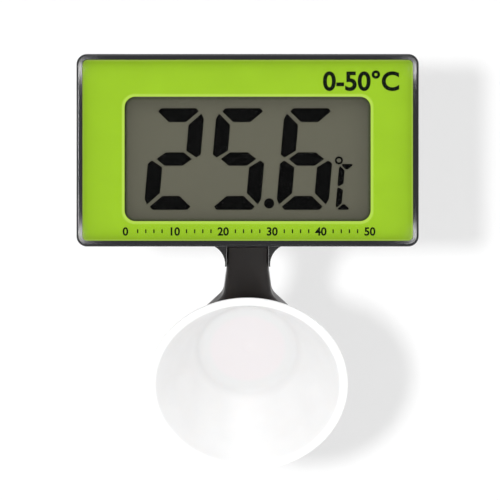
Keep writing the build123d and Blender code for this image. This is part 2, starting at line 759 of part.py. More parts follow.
# ---------------------------------------------------------------- screw cap
def battery_cap():
    body = turned(
        [
            (0, CAP_INNER_FACE),
            (SKIRT_INSIDE, CAP_INNER_FACE),
            (SKIRT_INSIDE, SKIRT_FRONT),
            (SKIRT_OUTSIDE, SKIRT_FRONT),
            (SKIRT_OUTSIDE, SEAL_GROOVE_FRONT),
            (SEAL_GROOVE_FLOOR, SEAL_GROOVE_FRONT),
            (SEAL_GROOVE_FLOOR, SEAL_GROOVE_BACK),
            (SHOULDER, SEAL_GROOVE_BACK),
            (SHOULDER, CAP_FLANGE_FRONT),
            (CAP_FLANGE, CAP_FLANGE_FRONT),
            (CAP_FLANGE, CAP_BACK - CAP_EDGE),
            (CAP_FLANGE - CAP_EDGE, CAP_BACK),
            (0, CAP_BACK),
        ]
    )
    body += thread_ridge(SKIRT_OUTSIDE, 1, 0)
    length, width, depth = COIN_SLOT
    slot = RectangleRounded(length, width, width / 2 - 0.01)
    body -= Pos(0, 0, CAP_BACK - depth) * extrude(slot, depth)
    return in_case(body, 0, WELL_Z)


def battery_cap_o_ring():
    middle_radius = (SEAL_GROOVE_FLOOR + MOUTH_BORE) / 2 - 0.015
    middle = (SEAL_GROOVE_FRONT + SEAL_GROOVE_BACK) / 2
    section = Pos(middle_radius, middle) * RectangleRounded(*O_RING)
    return in_case(revolve(Plane.XZ * section, axis=Axis.Z), 0, WELL_Z)


# ---------------------------------------------------------------- arm
def arm_outline():
    """The arm in the cup frame: a straight tongue that widens into a round paddle."""
    meet_x = PADDLE_RADIUS * sin(radians(FLARE))
    meet_y = -PADDLE_RADIUS * cos(radians(FLARE))
    right = [
        (ARM_HALF_WIDTH, -ARM_LENGTH),
        (ARM_HALF_WIDTH, -ARM_LENGTH + TONGUE_LENGTH),
        (ARM_WAIST, -ARM_LENGTH + WAIST_LENGTH),
        (meet_x, meet_y),
    ]
    left = [(-x, y) for x, y in reversed(right)]
    tongue = make_face(Polyline(right + left, close=True))
    waist = [v for v in tongue.vertices() if abs(abs(v.X) - ARM_WAIST) < 0.01]
    return fillet(waist, WAIST_ROUND) + Circle(PADDLE_RADIUS)


def swivel_arm():
    plate = extrude(Pos(0, 0, ARM_DEPTH - ARM_THICK / 2) * arm_outline(), ARM_THICK)
    flat = plate.faces().sort_by(Axis.Z)
    plate = fillet(flat[0].edges() + flat[-1].edges(), ARM_EDGE)
    plate -= Pos(0, 0, ARM_DEPTH) * Cylinder(EYE_RADIUS, 2 * ARM_THICK)
    arm = CUP_FRAME.location * plate
    arm += along_x(KNUCKLE_RADIUS, ARM_HALF_WIDTH)
    return arm - along_x(PIN_RADIUS, PIN_HALF_LENGTH)


def hinge_pin():
    pin = along_x(PIN_RADIUS, PIN_HALF_LENGTH)
    ends = pin.edges().filter_by(GeomType.CIRCLE)
    return chamfer(ends, PIN_END_BEVEL)


# ---------------------------------------------------------------- suction cup
def suction_cup():
    inner_lip = CUP_RADIUS - LIP_WIDTH
    back = CUP_DEPTH + CUP_BASE
    knob_front = back + 2 * NECK_GAP + ARM_THICK
    knob_back = knob_front + KNOB_THICK
    bowl = ThreePointArc((inner_lip, 0), BOWL_MIDDLE, BOWL_FOOT)
    bowl_end = ThreePointArc(BOWL_FOOT, BOWL_TURN, (CUP_FLOOR_RADIUS, CUP_DEPTH))
    floor_and_knob = Polyline(
        (CUP_FLOOR_RADIUS, CUP_DEPTH),
        (0, CUP_DEPTH),
        (0, knob_back),
        (KNOB_RADIUS - KNOB_TAPER[0], knob_back),
        (KNOB_RADIUS, knob_back - KNOB_TAPER[1]),
        (KNOB_RADIUS, knob_front),
        (NECK_RADIUS, knob_front),
        (NECK_RADIUS, back),
        (CUP_BASE_RADIUS - CUP_BASE_BEVEL, back),
        (CUP_BASE_RADIUS, back - CUP_BASE_BEVEL),
    )
    skirt_top = (CUP_BASE_RADIUS, back - CUP_BASE_BEVEL)
    skirt = ThreePointArc(skirt_top, SKIRT_MIDDLE, (CUP_RADIUS, LIP_THICK))
    lip = Polyline((CUP_RADIUS, LIP_THICK), (CUP_RADIUS, 0), (inner_lip, 0))
    section = make_face(Plane.XZ * (bowl + bowl_end + floor_and_knob + skirt + lip))
    return CUP_FRAME.location * revolve(section, axis=Axis.Z)


# ---------------------------------------------------------------- writing the pieces
PIECES = [
    suction_cup, swivel_arm, hinge_pin,
    front_case, rear_case, case_seal, case_screws,
    face_panel, face_marks, face_print, panel_adhesive,
    lcd_front_polarizer, lcd_front_glass, lcd_cell_seal, lcd_segments,
    lcd_rear_glass, lcd_rear_polarizer, lcd_holder, zebra_strip,
    circuit_board, board_screws, chip_blob, chip_resistors, chip_capacitors,
    thermistor_bead, thermistor_leads, sensor_cap, sensor_potting,
    battery_can, battery_anode_cap, battery_grommet, positive_contact, negative_contact,
    battery_cap_o_ring, battery_cap,
]

os.makedirs("parts", exist_ok=True)
for piece in PIECES:
    export_step(piece(), f"parts/{piece.__name__}.step")
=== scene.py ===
import json
import math

import bmesh
import bpy
from bpy.props import FloatProperty, FloatVectorProperty, IntProperty, PointerProperty, StringProperty
from mathutils import Matrix, Vector


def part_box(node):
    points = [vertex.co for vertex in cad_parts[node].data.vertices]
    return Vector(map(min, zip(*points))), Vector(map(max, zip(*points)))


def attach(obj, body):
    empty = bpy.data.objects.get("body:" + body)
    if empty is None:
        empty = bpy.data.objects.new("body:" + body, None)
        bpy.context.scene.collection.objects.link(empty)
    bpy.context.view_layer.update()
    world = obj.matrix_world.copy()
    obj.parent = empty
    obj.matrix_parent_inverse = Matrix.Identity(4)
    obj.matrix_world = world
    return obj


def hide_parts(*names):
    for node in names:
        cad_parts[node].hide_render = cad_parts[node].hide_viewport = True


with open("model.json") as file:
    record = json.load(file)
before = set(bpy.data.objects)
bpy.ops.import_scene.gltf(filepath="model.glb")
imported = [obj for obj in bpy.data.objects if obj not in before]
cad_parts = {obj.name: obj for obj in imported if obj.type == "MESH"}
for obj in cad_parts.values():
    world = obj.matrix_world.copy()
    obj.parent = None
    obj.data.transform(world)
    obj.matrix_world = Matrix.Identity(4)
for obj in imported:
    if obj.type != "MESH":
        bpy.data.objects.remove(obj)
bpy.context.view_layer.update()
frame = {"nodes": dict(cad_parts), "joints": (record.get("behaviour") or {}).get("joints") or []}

bl_info = {
    "name": "Aquarium Thermometer",
    "version": (1, 0, 0),
    "blender": (4, 5, 0),
    "location": "3D View > Sidebar > Thermometer",
    "description": "Soft parts, prints and finishes of a submersible aquarium thermometer",
    "category": "Object",
}

MM = 0.001
JOINTS = {joint["name"]: joint for joint in frame["joints"]}
RIGHT = Vector((1, 0, 0))

# The cup's own axes: x to the right, y down along the arm, z from the mouth to the knob.
CUP_BACK = -Vector(JOINTS["cup_swivel"]["axis"]).normalized()
CUP_DOWN = CUP_BACK.cross(RIGHT)
CUP_SPACE = Matrix((RIGHT, CUP_DOWN, CUP_BACK)).transposed().to_4x4()
EYE_DEPTH = Vector(JOINTS["cup_swivel"]["pos_m"]).dot(CUP_BACK)

# The case's front face, its middle, and the screw cap's axis.
CASE_LOW, CASE_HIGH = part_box("front_case")
CASE_MIDDLE = (CASE_LOW + CASE_HIGH) / 2
REAR_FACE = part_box("rear_case")[1].y
PANEL_LOW, PANEL_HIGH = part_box("face_panel")
CAP_LOW, CAP_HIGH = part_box("battery_cap")
CAP_CENTRE = Vector(JOINTS["battery_cap_turn"]["pos_m"])
SENSOR_LOW, SENSOR_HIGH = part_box("sensor_cap")
WINDOW_LOW, WINDOW_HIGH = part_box("lcd_front_polarizer")
PANEL_CORNER = 0.8 * MM
WINDOW_CORNER = 1.9 * MM

FILM_WIDTH = 36.0      # of the camera, in millimetres
MERGE = 0.0005 * MM    # points closer than this are one
SUNK = 0.05 * MM       # how far added pieces reach into what they stand on
RING_STEPS = 96
NO_GLARE = 0.06        # specular level of print and film behind the panel
BOWL_STEPS = (0.88, 0.66, 0.44, 0.22, 0.07)    # shares of the bowl's depth, from its floor out
SKIRT_STEPS = (0.1, 0.3, 0.52, 0.74, 0.93)     # shares of the way from the lip to the cup's back


# ---------------------------------------------------------------- settings
def length(label, text, millimetres):
    """A size in metres that a user may change."""
    return FloatProperty(
        name=label, description=text, default=millimetres * MM, unit="LENGTH", precision=5
    )


def angle(label, text, degrees):
    return FloatProperty(name=label, description=text, default=math.radians(degrees), subtype="ANGLE")


def amount(label, text, number, unit="NONE"):
    """A strength with no unit, a power in watts or a focal length in millimetres."""
    return FloatProperty(name=label, description=text, default=number, min=0, unit=unit, precision=4)


def count(label, text, number, least):
    return IntProperty(name=label, description=text, default=number, min=least, subtype="UNSIGNED")


def tint(label, text, colour):
    return FloatVectorProperty(
        name=label, description=text, default=colour, size=3, subtype="COLOR", min=0, max=1
    )


class CupSizes(bpy.types.PropertyGroup):
    rim_radius: length("Rim radius", "Outer radius of the cup's lip", 16.5)
    lip_width: length("Lip width", "Width of the flat ring that meets the glass", 1.35)
    lip_thick: length("Lip thickness", "Thickness of the lip's edge", 0.55)
    depth: length("Depth", "From the rim to the bowl's floor", 12.0)
    floor_radius: length("Floor radius", "Radius of the flat floor of the bowl", 7.6)
    base_radius: length("Base radius", "Radius of the cup's back", 8.4)
    base_thick: length("Base thickness", "From the bowl's floor to the cup's back", 2.2)
    neck_radius: length("Neck radius", "Radius of the neck in the arm's eye", 3.0)
    knob_radius: length("Knob radius", "Radius of the mushroom behind the arm", 4.5)
    knob_thick: length("Knob thickness", "Length of the mushroom along the axis", 3.6)
    turns: count("Steps", "Steps round the cup", 64, 16)
    milky: tint("Milky white", "Colour of the silicone", (0.865, 0.865, 0.865))
    blush: tint("Blush", "Colour of the thick floor of the bowl", (0.84, 0.805, 0.815))


class PrintSizes(bpy.types.PropertyGroup):
    range_text: StringProperty(
        name="Range", description="Range printed above the window", default="0-50°C", subtype="NONE"
    )
    range_size: length("Range size", "Letter size of the printed range", 4.3)
    range_right: length("Range right", "Right end of the printed range from the middle", 24.9)
    range_up: length("Range height", "Baseline of the printed range above the middle", 9.85)
    row_size: length("Row size", "Letter size of the row of numbers", 1.85)
    row_down: length("Row drop", "Middle of the row of numbers below the case's middle", 13.25)
    row_step: length("Row step", "From one number of the row to the next", 8.0)
    row_count: count("Row count", "Numbers in the row", 6, 2)
    row_gain: count("Row gain", "Degrees from one number to the next", 10, 1)
    ticks: count("Ticks", "Ticks between two numbers", 4, 0)
    tick_width: length("Tick width", "Width of a tick", 0.2)
    tick_height: length("Tick height", "Height of a tick", 0.62)
    ink_thick: length("Ink thickness", "Thickness of the black ink", 0.03)
    ink: tint("Ink", "Colour of the scale marks", (0.004, 0.008, 0.003))
    green: tint("Green", "Colour of the face", (0.302, 0.528, 0.021))
    # The light edge is a painted highlight along the print's outer edge and round the window.
    painted_edge_highlight: tint("Green edge", "Colour at the print's light edges", (0.42, 0.63, 0.075))
    edge_width: length("Edge width", "Width of the light edge", 0.28)


class DisplaySizes(bpy.types.PropertyGroup):
    ground: tint("Ground", "Colour of the display behind the segments", (0.131, 0.126, 0.098))
    # The border is painted shade, darker just inside the window's edge.
    border: tint("Border", "Colour of the display close to the window's edge", (0.07, 0.085, 0.04))
    border_width: length("Border width", "Width of the dark border", 0.5)
    segment: tint("Segment", "Colour of a lit segment", (0.001, 0.001, 0.0012))


class CaseSizes(bpy.types.PropertyGroup):
    gloss_black: tint("Gloss black", "Colour of the front rim", (0.006, 0.0065, 0.008))
    matt_black: tint("Matt black", "Colour of the rear case", (0.012, 0.012, 0.013))
    arm_black: tint("Arm black", "Colour of the arm", (0.02, 0.0165, 0.0155))
    mouth_ring: length("Mouth ring", "Radial width of the raised ring round the cap", 0.6)
    ring_height: length("Ring height", "Height of the raised rings on the rear face", 0.4)
    ring_gap: length("Ring gap", "From the cap's flange to the raised ring round it", 0.35)
    sensor_ring: length("Sensor ring", "Inner radius of the raised ring round the sensor", 3.15)
    grips: count("Grips", "Grip ribs round the cap", 36, 6)
    grip_width: length("Grip width", "Width of a grip rib", 0.5)
    grip_proud: length("Grip height", "How far a grip rib stands out", 0.14)
    arrow_radius: length("Arrow radius", "Radius of the turning arrow on the cap", 7.6)
    arrow_sweep: angle("Arrow sweep", "Turn of the arrow's band", 38)
    arrow_start: angle("Arrow start", "Where the first arrow's band starts", -70)


class StageSizes(bpy.types.PropertyGroup):
    wall: length("Wall distance", "From the cup's rim back to the wall", 85.0)
    floor: length("Floor drop", "From the cup's rim down to the floor", 85.0)
    cove: length("Cove", "Radius between floor and wall", 60.0)
    reach: length("Reach", "How far the stage runs each way", 3000.0)
    frame_width: length("Frame width", "Width that the view takes in at the display", 81.8)
    aim_right: length("Aim right", "View's centre to the right of the case's middle", 0.39)
    aim_below: length("Aim below", "View's centre below the case's lower edge", 0.57)
    lens: amount("Lens", "Camera's focal length", 900, "CAMERA")
    sky: amount("Surround", "Strength of the even surround", 0.705)
    sun: amount("Key", "Strength of the key light", 0.85)
    shadow_right: length("Shadow right", "How far right the shadow falls on the wall", 12.0)
    shadow_down: length("Shadow down", "How far down the shadow falls on the wall", 0.3)
    softness: angle("Softness", "Apparent size of the key light", 3)
    overhead: amount("Overhead", "Power of the soft light above", 0.2, "POWER")
    behind: amount("Behind", "Power of the soft light behind the case", 0.9, "POWER")
    overhead_width: length("Overhead width", "Width of the soft light above", 120)
    overhead_length: length("Overhead length", "Length of the soft light above", 300)
    overhead_up: length("Overhead height", "Height of the soft light above the cup's rim", 300)
    overhead_front: length("Overhead reach", "How far in front of the cup the soft light stands", 300)
    sheen: amount("Sheen", "Strength of the light that shines only on the cup", 1.2)
    sheen_height: angle("Sheen height", "How high the cup's own light stands", 58)
    sheen_spread: angle("Sheen spread", "Apparent size of the cup's own light", 50)
    glint: amount("Glint", "Power of each small light for the rim", 0.0007, "POWER")
    glint_front: length("Glint distance", "How far in front of the case the small lights stand", 250)
    glint_width: length("Glint width", "Width of a small light", 1.6)
    glint_height: length("Glint height", "Height of a small light", 2.0)
    glint_in: length("Glint inset", "Middle of a highlight from the case's side", 0.45)
    glint_low: length("Glint low", "Middle of a lower highlight from the case's bottom", 2.2)
    glint_high: length("Glint high", "Middle of an upper highlight from the case's top", 2.6)
    pale: tint("Stage", "Colour of the floor and wall", (0.955, 0.955, 0.955))


# ---------------------------------------------------------------- mesh helpers
def new_piece(name, work, body, finish, replaces=()):
    """Turns a bmesh into a piece that rides on a body."""
    mesh = bpy.data.meshes.new(name)
    work.to_mesh(mesh)
    work.free()
    mesh.materials.append(finish)
    piece = bpy.data.objects.new(name, mesh)
    bpy.context.collection.objects.link(piece)
    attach(piece, body)
    if replaces:
        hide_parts(*replaces)
    return piece


def clean(work):
    """Closes the seams of a turned shape and points its faces outwards."""
    bmesh.ops.remove_doubles(work, verts=work.verts, dist=MERGE)
    bmesh.ops.recalc_face_normals(work, faces=work.faces)
    for face in work.faces:
        face.smooth = True


def spin_outline(work, outline, steps, sweep=math.tau, closed=False):
    """Turns an outline of (radius, height) round local z."""
    points = [work.verts.new((radius, 0, height)) for radius, height in outline]
    edges = [work.edges.new(pair) for pair in zip(points, points[1:])]
    if closed:
        edges.append(work.edges.new((points[-1], points[0])))
    full = math.isclose(sweep, math.tau)
    made = points + edges
    if closed and not full:
        made.append(work.faces.new(points))
    bmesh.ops.spin(
        work, geom=made, cent=(0, 0, 0), axis=(0, 0, 1), steps=steps, angle=sweep, use_merge=full
    )


def facing_back(centre):
    """A frame at a point of the case, with local z running backwards."""
    return Matrix.Translation(centre) @ Matrix.Rotation(-math.pi / 2, 4, "X")


def round_edges(piece, width):
    """A live bevel on a piece's sharp edges, with even shading."""
    bevel = piece.modifiers.new("round", "BEVEL")
    bevel.width = width
    bevel.segments = 2
    bevel.limit_method = "ANGLE"
    bevel.angle_limit = math.radians(40)
    bevel.harden_normals = True


# ---------------------------------------------------------------- finishes
class Finish:
    """A procedural material built round one Principled shader."""

    def __init__(self, name, colour=(0.5, 0.5, 0.5), roughness=0.5, metallic=0.0):
        self.material = bpy.data.materials.new(name)
        self.material.use_nodes = True
        self.tree = self.material.node_tree
        self.tree.nodes.clear()
        self.output = self.add("OutputMaterial")
        self.shader = self.add("BsdfPrincipled")
        self.link(self.shader.outputs["BSDF"], self.output.inputs["Surface"])
        self.set("Base Color", (*colour, 1))
        self.set("Roughness", roughness)
        self.set("Metallic", metallic)
        self.place = self.add("TexCoord").outputs["Object"]

    def add(self, kind, **settings):
        node = self.tree.nodes.new("ShaderNode" + kind)
        for key, value in settings.items():
            setattr(node, key, value)
        return node

    def link(self, source, target):
        self.tree.links.new(source, target)

    def set(self, socket, value):
        self.shader.inputs[socket].default_value = value

    def math(self, operation, *values):
        node = self.add("Math", operation=operation)
        for socket, value in zip(node.inputs, values):
            if isinstance(value, bpy.types.NodeSocket):
                self.link(value, socket)
            else:
                socket.default_value = value
        return node.outputs[0]

    def noise(self, size, detail=3.0, stretch=None):
        """Noise whose features are about size metres across."""
        node = self.add("TexNoise")
        node.inputs["Scale"].default_value = 1 / size
        node.inputs["Detail"].default_value = detail
        source = self.place
        if stretch:
            mapping = self.add("Mapping")
            mapping.inputs["Scale"].default_value = stretch
            self.link(source, mapping.inputs["Vector"])
            source = mapping.outputs[0]
        self.link(source, node.inputs["Vector"])
        return node.outputs["Fac"]

    def spread(self, source, low, high, source_low=0.3, source_high=0.7):
        """Maps a value to a range, held at its ends."""
        node = self.add("MapRange")
        for socket, value in zip(list(node.inputs)[1:5], (source_low, source_high, low, high)):
            socket.default_value = value
        self.link(source, node.inputs[0])
        return node.outputs[0]

    def blend(self, share, first, second):
        """A colour between two, which are colours or sockets."""
        node = self.add("Mix", data_type="RGBA")    # its colours are inputs 6 and 7, and output 2
        self.link(share, node.inputs["Factor"])
        for socket, value in ((node.inputs[6], first), (node.inputs[7], second)):
            if isinstance(value, bpy.types.NodeSocket):
                self.link(value, socket)
            else:
                socket.default_value = (*value, 1)
        return node.outputs[2]

    def colour(self, source):
        self.link(source, self.shader.inputs["Base Color"])

    def roughness(self, source, low, high):
        self.link(self.spread(source, low, high), self.shader.inputs["Roughness"])

    def bump(self, source, depth, strength=1.0):
        node = self.add("Bump")
        node.inputs["Distance"].default_value = depth
        node.inputs["Strength"].default_value = strength
        self.link(source, node.inputs["Height"])
        self.link(node.outputs[0], self.shader.inputs["Normal"])

    def edge_distance(self, low, high, corner):
        """Distance outside a round-cornered rectangle of the case's front, negative within it."""
        axes = self.add("SeparateXYZ")
        self.link(self.place, axes.inputs[0])
        past = []
        for index in (0, 2):
            middle = (low[index] + high[index]) / 2
            half = (high[index] - low[index]) / 2 - corner
            away = self.math("ABSOLUTE", self.math("SUBTRACT", axes.outputs[index], middle))
            past.append(self.math("SUBTRACT", away, half))
        squares = [self.math("POWER", self.math("MAXIMUM", side, 0.0), 2.0) for side in past]
        outside = self.math("SQRT", self.math("ADD", *squares))
        inside = self.math("MINIMUM", self.math("MAXIMUM", *past), 0.0)
        return self.math("SUBTRACT", self.math("ADD", outside, inside), corner)

    def clear(self, through, facing, glancing_power, gloss):
        """Swaps the shader for a clear sheet: seen through, with a faint even gloss."""
        see = self.add("BsdfTransparent")
        see.inputs["Color"].default_value = (*through, 1)
        shine = self.add("BsdfGlossy")
        shine.inputs["Roughness"].default_value = gloss
        fresnel = self.add("Fresnel")
        fresnel.inputs["IOR"].default_value = facing
        share = self.math("POWER", fresnel.outputs[0], glancing_power)
        mix = self.add("MixShader")
        self.link(share, mix.inputs[0])
        self.link(see.outputs[0], mix.inputs[1])
        self.link(shine.outputs[0], mix.inputs[2])
        self.link(mix.outputs[0], self.output.inputs["Surface"])
        self.tree.nodes.remove(self.shader)
        return shine


def shade(colour, factor):
    return tuple(min(1.0, part * factor) for part in colour)


def moulded(name, colour, gloss, grain=0.12 * MM, depth=0.004 * MM):
    """Plastic or rubber from a textured mould: fine grain, cloudy sheen, slight colour drift."""
    finish = Finish(name, colour, gloss)
    cloud = finish.noise(6 * MM, 4)
    finish.colour(finish.blend(finish.spread(cloud, 0, 1), shade(colour, 0.94), shade(colour, 1.06)))
    finish.roughness(finish.noise(1.5 * MM, 5), gloss * 0.92, min(1, gloss * 1.08))
    finish.bump(finish.noise(grain, 2), depth, 0.6)
    return finish


def polished(name, colour, gloss=0.06):
    """Gloss plastic from a polished mould, with hairline scuffs and a faint ripple."""
    finish = Finish(name, colour, gloss)
    scuffs = finish.noise(0.9 * MM, 8, stretch=(1, 1, 6))
    finish.roughness(scuffs, gloss * 0.88, gloss * 1.2)
    drift = finish.spread(finish.noise(9 * MM, 2), 0, 1)
    finish.colour(finish.blend(drift, shade(colour, 0.9), shade(colour, 1.1)))
    finish.bump(finish.noise(3 * MM, 1), 0.003 * MM, 0.06)
    finish.set("Specular IOR Level", 0.42)
    return finish


def drawn_metal(name, colour, gloss, stretch=(1, 12, 1), grain=0.35 * MM):
    """Metal with fine lines from drawing or turning and a little handling haze."""
    finish = Finish(name, colour, gloss, metallic=1.0)
    lines = finish.noise(grain, 4, stretch=stretch)
    finish.roughness(lines, gloss * 0.7, gloss * 1.4)
    haze = finish.spread(finish.noise(2.5 * MM, 3), 0, 1)
    finish.colour(finish.blend(haze, shade(colour, 0.88), shade(colour, 1.06)))
    finish.bump(lines, 0.002 * MM, 0.5)
    return finish


def laminate(name, colour):
    """Circuit board: lacquer over a woven glass cloth, with tracks showing as ridges."""
    finish = Finish(name, colour, 0.32)
    weave = finish.add("TexWave", wave_type="BANDS", bands_direction="DIAGONAL")
    weave.inputs["Scale"].default_value = 1 / (2.2 * MM)
    weave.inputs["Distortion"].default_value = 2.0
    finish.link(finish.place, weave.inputs["Vector"])
    tracks = finish.spread(weave.outputs["Fac"], 0, 1, 0.55, 0.62)
    finish.colour(finish.blend(tracks, shade(colour, 0.8), shade(colour, 1.7)))
    finish.bump(tracks, 0.02 * MM, 0.7)
    return finish


def ringed(name, first, second, pitch, gloss=0.5):
    """Fine stripes along x, as in a layered connector."""
    finish = Finish(name, first, gloss)
    stripes = finish.add("TexWave", wave_type="BANDS", bands_direction="X")
    stripes.inputs["Scale"].default_value = 1 / pitch
    finish.link(finish.place, stripes.inputs["Vector"])
    finish.colour(finish.blend(finish.spread(stripes.outputs["Fac"], 0, 1), first, second))
    return finish


def silicone(cup):
    """Soft milky silicone, with painted shade round the floor of the bowl, a shade warmer in its
    middle, and a lighter lip that is partly a painted highlight.
    """
    finish = Finish("milky_silicone", cup.milky, 0.38)
    depth = finish.add("VectorMath", operation="DOT_PRODUCT")
    depth.inputs[1].default_value = CUP_BACK
    finish.link(finish.place, depth.inputs[0])
    reach = finish.add("VectorMath", operation="LENGTH")
    finish.link(finish.place, reach.inputs[0])
    along = finish.math("POWER", depth.outputs["Value"], 2)
    whole = finish.math("POWER", reach.outputs["Value"], 2)
    radius = finish.math("SQRT", finish.math("SUBTRACT", whole, along))
    warm = finish.spread(radius, 1, 0, cup.floor_radius * 0.76, cup.floor_radius * 0.86)
    # Painted shade: a greyer ring round the floor of the bowl, standing in for the shade of its steep
    # corner and of the arm's eye behind the cup.
    ring = finish.spread(radius, 1, 0, cup.floor_radius * 1.08, cup.floor_radius * 1.2)
    cloud = finish.spread(finish.noise(5 * MM, 4), 0, 1)
    body = finish.blend(cloud, shade(cup.milky, 0.985), shade(cup.milky, 1.02))
    ring_shade = finish.blend(ring, body, shade(cup.milky, 0.94))
    bowl = finish.blend(warm, ring_shade, tuple(cup.blush))
    # The lip is painted lighter than the bowl: partly the whiter look of thick silicone, partly a
    # painted highlight.
    lip_start = cup.rim_radius - cup.lip_width
    lip = finish.spread(radius, 0, 1, lip_start - 0.15 * MM, lip_start + 0.1 * MM)
    finish.colour(finish.blend(lip, bowl, shade(cup.milky, 1.1)))
    finish.roughness(finish.noise(2 * MM, 5), 0.33, 0.46)
    finish.bump(finish.noise(0.5 * MM, 3), 0.004 * MM, 0.4)
    finish.set("Subsurface Weight", 0.35)
    finish.set("Subsurface Radius", (1.0, 0.92, 0.86))
    finish.set("Subsurface Scale", 1.2 * MM)
    finish.set("Coat Weight", 0.08)
    return finish


def green_face(sizes):
    """Screen-printed green behind the panel, with a painted highlight along its outer edge and
    window.
    """
    finish = Finish("green_print", sizes.green, 0.8)
    finish.set("Specular IOR Level", NO_GLARE)
    drift = finish.spread(finish.noise(4 * MM, 5), 0, 1)
    body = finish.blend(drift, shade(sizes.green, 0.975), shade(sizes.green, 1.025))
    # Painted highlight: the print is lighter in a thin band along the panel's edge and the window's
    # edge.
    panel = finish.edge_distance(PANEL_LOW, PANEL_HIGH, PANEL_CORNER)
    outer = finish.spread(panel, 0, 1, -sizes.edge_width, -sizes.edge_width * 0.5)
    window = finish.edge_distance(WINDOW_LOW, WINDOW_HIGH, WINDOW_CORNER)
    inner = finish.spread(window, 1, 0, sizes.edge_width * 0.3, sizes.edge_width)
    finish.colour(finish.blend(finish.math("MAXIMUM", outer, inner), body, tuple(sizes.painted_edge_highlight)))
    finish.roughness(finish.noise(0.3 * MM, 3), 0.7, 0.9)
    finish.bump(finish.noise(0.15 * MM, 2), 0.002 * MM, 0.4)
    return finish


def display_ground(sizes):
    """Grey-green reflecting film with a fine sparkle, darker in the shade of the window's edge."""
    finish = Finish("reflector_film", sizes.ground, 0.8)
    finish.set("Specular IOR Level", NO_GLARE)
    grain = finish.spread(finish.noise(0.12 * MM, 2), 0, 1)
    body = finish.blend(grain, shade(sizes.ground, 0.94), shade(sizes.ground, 1.06))
    # Painted shade: the film is darker in a band just inside the window's edge.
    window = finish.edge_distance(WINDOW_LOW, WINDOW_HIGH, WINDOW_CORNER)
    near = finish.spread(window, 0, 1, -sizes.border_width - 0.35 * MM, -0.35 * MM)
    finish.colour(finish.blend(near, body, tuple(sizes.border)))
    finish.roughness(grain, 0.7, 0.9)
    return finish


def clear_sheet(name, through=(1, 1, 1), facing=1.14, gloss=0.03):
    """Clear plastic or glass seen through, with a soft reflection that grows at a glance."""
    finish = Finish(name)
    shine = finish.clear(through, facing, 1.15, gloss)
    smears = finish.spread(finish.noise(7 * MM, 5), gloss * 0.8, gloss * 1.4)
    finish.link(smears, shine.inputs["Roughness"])
    return finish


def paint(finish, *names):
    """Gives CAD nodes a finish."""
    for name in names:
        for slot in frame["nodes"][name].material_slots:
            slot.material = finish.material


def glaze(finish, name):
    """Gives a CAD pane a clear finish, and lets all light through to what lies behind it."""
    paint(finish, name)
    frame["nodes"][name].visible_shadow = False
    frame["nodes"][name].visible_diffuse = False


# ---------------------------------------------------------------- suction cup
def cup_outline(cup):
    """The cup's section as (radius, depth), from the bowl's floor round to the knob."""
    lip_inside = cup.rim_radius - cup.lip_width
    back = cup.depth + cup.base_thick
    plate = 2 * (EYE_DEPTH - back)
    knob = back + plate
    neck = cup.neck_radius
    pip = 0.12 * MM
    bowl_bow = 0.15 * MM
    skirt_bow = 0.3 * MM
    bowl_slope = (lip_inside - cup.floor_radius - 1.0 * MM) / (cup.depth - 0.9 * MM)
    skirt_run = cup.rim_radius - cup.base_radius
    bowl = []
    for depth in (cup.depth * part for part in BOWL_STEPS):
        bow = bowl_bow * math.sin(math.pi * depth / cup.depth)
        bowl.append((lip_inside - bowl_slope * depth + bow, depth))
    skirt = []
    for part in SKIRT_STEPS:
        bow = skirt_bow * math.sin(math.pi * part)
        skirt.append((cup.rim_radius - skirt_run * part - bow, back * part))
    return [
        # floor of the bowl, with the mould's pip in its middle
        (0, cup.depth - pip),
        (0.7 * MM, cup.depth - pip),
        (1.0 * MM, cup.depth),
        (cup.floor_radius * 0.6, cup.depth),
        (cup.floor_radius, cup.depth - 0.02 * MM),
        (cup.floor_radius + 0.7 * MM, cup.depth - 0.5 * MM),
        *bowl,
        # lip
        (lip_inside - 0.05 * MM, 0.06 * MM),
        (lip_inside + 0.2 * MM, 0),
        (cup.rim_radius - 0.2 * MM, 0),
        (cup.rim_radius, 0.05 * MM),
        (cup.rim_radius, cup.lip_thick),
        *skirt,
        # back
        (cup.base_radius, back - 0.25 * MM),
        (cup.base_radius - 0.35 * MM, back),
        (cup.base_radius - 1.2 * MM, back),
        # neck, with corners tight enough to clear the arm's eye
        (neck + 0.6 * MM, back),
        (neck + 0.15 * MM, back),
        (neck, back + 0.12 * MM),
        (neck, back + 0.4 * MM),
        (neck, knob - 0.4 * MM),
        (neck, knob - 0.12 * MM),
        (neck + 0.15 * MM, knob),
        (neck + 0.6 * MM, knob),
        # knob
        (cup.knob_radius - 0.2 * MM, knob),
        (cup.knob_radius, knob + 0.25 * MM),
        (cup.knob_radius, knob + cup.knob_thick * 0.5),
        (cup.knob_radius - 0.5 * MM, knob + cup.knob_thick * 0.7),
        (cup.knob_radius - 1.5 * MM, knob + cup.knob_thick - 0.1 * MM),
        (cup.knob_radius - 2.0 * MM, knob + cup.knob_thick),
        (0, knob + cup.knob_thick),
    ]


class ThermoSuctionCup(bpy.types.Operator):
    """Turn the soft suction cup with its neck and knob"""

    bl_idname = "thermo.suction_cup"
    bl_label = "Suction cup"

    def execute(self, context):
        cup = context.scene.thermo_cup
        work = bmesh.new()
        spin_outline(work, cup_outline(cup), cup.turns)
        clean(work)
        work.transform(CUP_SPACE)
        piece = new_piece(
            "soft_cup", work, "cup", silicone(cup).material, ["suction_cup"]
        )
        smooth = piece.modifiers.new("smooth", "SUBSURF")
        smooth.levels = 2
        smooth.render_levels = 2
        return {"FINISHED"}


